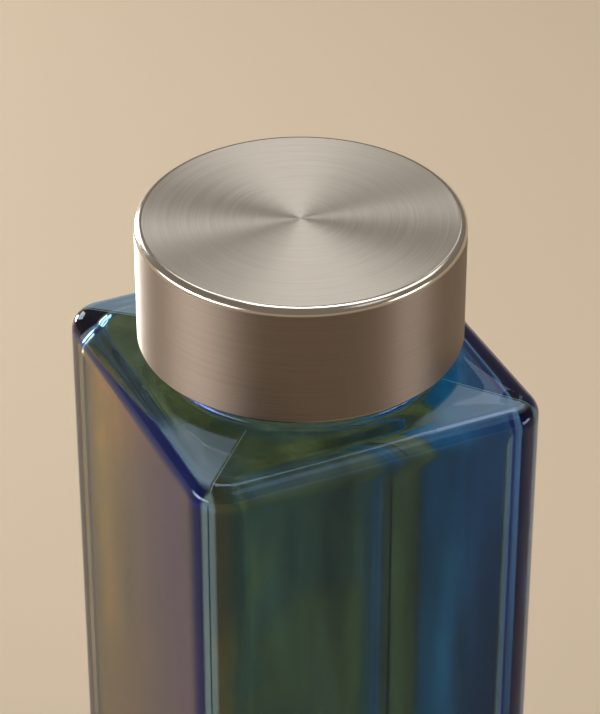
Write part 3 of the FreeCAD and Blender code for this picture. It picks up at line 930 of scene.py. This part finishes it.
class BOTTLE_OT_cap_lining(bpy.types.Operator):
    """Finish the threaded insert and the seal ring inside the cap"""

    bl_idname = "bottle.cap_lining"
    bl_label = "Insert and Seal"

    def execute(self, context):
        cap = context.scene.bottle_cap
        finishes = {
            "cap_insert": moulded_plastic("moulded_polypropylene", cap.plastic, roughness=0.45,
                                          grain=0.6 * MM),
            "seal_ring": moulded_plastic("moulded_silicone", cap.silicone, roughness=0.55,
                                         grain=0.8 * MM),
        }
        for node, material in finishes.items():
            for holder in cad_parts[node].material_slots:
                holder.material = material
        return {"FINISHED"}


# The photograph's frame in pixels, its focal length, and where the middle of the cap's top lies in it
FRAME_WIDTH, FRAME_HEIGHT = 600, 714
FOCAL_PIXELS = 3214
CAP_TOP_PIXEL = (300.8, 218.3)

# Height of the camera's sensor in millimetres
SENSOR = 36

# Floor: steps around its edge, shades of its patches, a matt finish, how far its far glow takes to come
# in, counted in lit reaches, and how strong that glow is
FLOOR_SEGMENTS = 96
FLOOR_DARK, FLOOR_LIGHT = 0.98, 1.02
FLOOR_ROUGHNESS = 0.8
FLOOR_GLOSS = 0.1
GLOW_FULL = 3
FAR_FLOOR_GLOW = 0.55

# How often light may bounce before it is cut off
GLASS_BOUNCES = 32

# Where the lamps point, and each lamp's name, degrees clockwise from straight behind the bottle, degrees
# upwards, metres away, width and height in metres, watts, and degrees over which its beam spreads
LAMP_AIM = Vector((0, 0, 0.15))
LAMPS = (
    # The bright wedges of the brushed top, and much of the light on the floor
    ("lamp_overhead", 22, 70, 1.2, (0.4, 0.4), 2.7, 180),
    # Widens the wedges at one edge
    ("lamp_back", 10, 50, 1.3, (0.25, 0.25), 0.55, 180),
    # The fainter wedges across the top, and the bright left edge of the cap's side
    ("lamp_back_left", -12, 20, 1.3, (0.45, 0.45), 3.5, 180),
    # The same edge again, from too low to light the top
    ("lamp_low_left", -14, -2, 1.3, (0.25, 0.14), 2.6, 50),
    # The broad light band on the left of the cap's side
    ("lamp_left", -85, 5, 1.2, (1.6, 0.26), 2.7, 70),
    # A trace of light at the right edge of the cap's side
    ("lamp_right", 40, 38, 1.3, (0.15, 0.3), 0.14, 180),
    # A little light on what faces the front
    ("lamp_front", 150, 47, 1.2, (0.4, 0.4), 0.5, 180),
    # The pale line along the front of the glass's crown
    ("lamp_crown", 74, 69, 1.2, (0.35, 0.28), 1.0, 180),
    # Widens the wedges at their other edge
    ("lamp_high_right", 75, 55, 1.2, (0.5, 0.5), 1.5, 180),
    # The dim band on the right of the cap's side
    ("lamp_low_right", 131, 4, 1.2, (0.6, 0.25), 0.5, 70),
)


def plain_floor(studio):
    """Matt painted board: one pale colour with a trace of unevenness. Far from the bottle, where the lamps
    don't reach, it shows its own colour to the eye, in mirrors and through glass."""
    material, tree, output = new_material("pale_painted_floor")
    place = add_node(tree, "ShaderNodeTexCoord").outputs["Object"]
    uneven = add_node(tree, "ShaderNodeTexNoise", inputs={"Vector": place, "Scale": 1 / studio.unevenness})
    shade = add_node(tree, "ShaderNodeMapRange", inputs={
        "Value": uneven.outputs["Fac"], "To Min": FLOOR_DARK, "To Max": FLOOR_LIGHT})
    tone = add_node(tree, "ShaderNodeVectorMath", {"operation": "SCALE"}, {
        0: studio.floor_colour, "Scale": shade.outputs[0]})
    away = add_node(tree, "ShaderNodeVectorMath", {"operation": "LENGTH"}, {0: place})
    far_off = add_node(tree, "ShaderNodeMapRange", {"interpolation_type": "SMOOTHSTEP"}, {
        "Value": away.outputs["Value"], "From Min": studio.lit_reach,
        "From Max": GLOW_FULL * studio.lit_reach, "To Max": FAR_FLOOR_GLOW})
    ray = add_node(tree, "ShaderNodeLightPath")
    seen = add_node(tree, "ShaderNodeMath", {"operation": "MAXIMUM"}, {
        0: ray.outputs["Is Camera Ray"], 1: ray.outputs["Is Glossy Ray"]})
    seen_through = add_node(tree, "ShaderNodeMath", {"operation": "MAXIMUM"}, {
        0: seen.outputs[0], 1: ray.outputs["Is Transmission Ray"]})
    glow = add_node(tree, "ShaderNodeMath", {"operation": "MULTIPLY"}, {
        0: far_off.outputs[0], 1: seen_through.outputs[0]})
    board = add_node(tree, "ShaderNodeBsdfPrincipled", inputs={
        "Base Color": tone.outputs["Vector"],
        "Roughness": FLOOR_ROUGHNESS,
        "Specular IOR Level": FLOOR_GLOSS,
        "Emission Color": tone.outputs["Vector"],
        "Emission Strength": glow.outputs[0],
    })
    tree.links.new(board.outputs["BSDF"], output.inputs["Surface"])
    return material


def add_lamp(name, azimuth, elevation, distance, size, watts, spread):
    """A soft lamp turned towards the bottle, from one row of the lamps' table."""
    around, up = math.radians(azimuth), math.radians(elevation)
    away = Vector((math.sin(around) * math.cos(up), math.cos(around) * math.cos(up), math.sin(up)))
    lamp = bpy.data.lights.new(name, "AREA")
    lamp.shape = "RECTANGLE"
    lamp.size, lamp.size_y = size
    lamp.energy = watts
    lamp.spread = math.radians(spread)
    holder = bpy.data.objects.new(name, lamp)
    holder.location = LAMP_AIM + away * distance
    holder.rotation_euler = (-away).to_track_quat("-Z", "Y").to_euler()
    bpy.context.scene.collection.objects.link(holder)


class BOTTLE_OT_studio(bpy.types.Operator):
    """Make the floor, the soft light and the camera"""

    bl_idname = "bottle.studio"
    bl_label = "Studio"

    def execute(self, context):
        scene = context.scene
        studio = scene.bottle_studio
        self.lay_floor(studio)
        self.light(scene, studio)
        self.aim_camera(scene, studio)
        scene.view_settings.view_transform = "Standard"
        # Light runs to and fro many times inside thick glass, and edges cut off too soon would turn black
        scene.cycles.max_bounces = GLASS_BOUNCES
        scene.cycles.glossy_bounces = GLASS_BOUNCES
        scene.cycles.transmission_bounces = GLASS_BOUNCES
        return {"FINISHED"}

    def lay_floor(self, studio):
        """A plain round floor under the bottle."""
        shape = bmesh.new()
        bmesh.ops.create_circle(shape, cap_ends=True, segments=FLOOR_SEGMENTS,
                                radius=studio.floor_radius)
        mesh = bpy.data.meshes.new("studio_floor")
        shape.to_mesh(mesh)
        shape.free()
        floor = new_object("studio_floor", mesh, [plain_floor(studio)])

    def light(self, scene, studio):
        """A pale room that gives light from all sides, and the lamps."""
        world = bpy.data.worlds.new("pale_room")
        world.use_nodes = True
        room = world.node_tree.nodes["Background"].inputs
        room["Color"].default_value = (*studio.room_colour, 1)
        room["Strength"].default_value = studio.room_strength
        scene.world = world
        for lamp in LAMPS:
            add_lamp(*lamp)

    def aim_camera(self, scene, studio):
        """Stand the camera where the photograph was taken from."""
        around, up = studio.azimuth, studio.elevation
        back = Vector((math.sin(around) * math.cos(up), -math.cos(around) * math.cos(up), math.sin(up)))
        right = Vector((math.cos(around), math.sin(around), 0))
        upward = back.cross(right)
        per_pixel = studio.distance / FOCAL_PIXELS
        sideways = (CAP_TOP_PIXEL[0] - FRAME_WIDTH / 2) * per_pixel
        raised = (FRAME_HEIGHT / 2 - CAP_TOP_PIXEL[1]) * per_pixel
        cap_top = Vector((0, 0, scene.bottle_cap.top))
        place = cap_top + back * studio.distance - right * sideways - upward * raised
        turn = Matrix((right, upward, back)).transposed().to_4x4()
        camera = bpy.data.cameras.new("photo_camera")
        camera.sensor_fit = "VERTICAL"
        camera.sensor_height = SENSOR
        camera.lens = FOCAL_PIXELS / FRAME_HEIGHT * SENSOR
        holder = bpy.data.objects.new("photo_camera", camera)
        holder.matrix_world = Matrix.Translation(place) @ turn
        scene.collection.objects.link(holder)
        scene.camera = holder


OPERATORS = (BOTTLE_OT_glass, BOTTLE_OT_cap_shell, BOTTLE_OT_cap_lining, BOTTLE_OT_studio)


class BOTTLE_PT_sidebar(bpy.types.Panel):
    """Lists the pieces of the bottle"""

    bl_idname = "BOTTLE_PT_sidebar"
    bl_label = "Square Bottle"
    bl_space_type = "VIEW_3D"
    bl_region_type = "UI"
    bl_category = "Bottle"

    def draw(self, context):
        for operator in OPERATORS:
            self.layout.operator(operator.bl_idname)


SETTINGS = {
    "square_bottle": BottleSettings,
    "bottle_cap": CapSettings,
    "bottle_studio": StudioSettings,
}


def register():
    """Make the settings, operators and panel known."""
    for name, group in SETTINGS.items():
        bpy.utils.register_class(group)
        setattr(bpy.types.Scene, name, PointerProperty(type=group))
    for operator in (*OPERATORS, BOTTLE_PT_sidebar):
        bpy.utils.register_class(operator)


def unregister():
    """Take the settings, operators and panel away again."""
    for operator in (BOTTLE_PT_sidebar, *reversed(OPERATORS)):
        bpy.utils.unregister_class(operator)
    for name, group in reversed(SETTINGS.items()):
        delattr(bpy.types.Scene, name)
        bpy.utils.unregister_class(group)


def main():
    """Make every piece."""
    register()
    bpy.ops.bottle.glass()
    bpy.ops.bottle.cap_shell()
    bpy.ops.bottle.cap_lining()
    bpy.ops.bottle.studio()


if __name__ == "__main__":
    main()
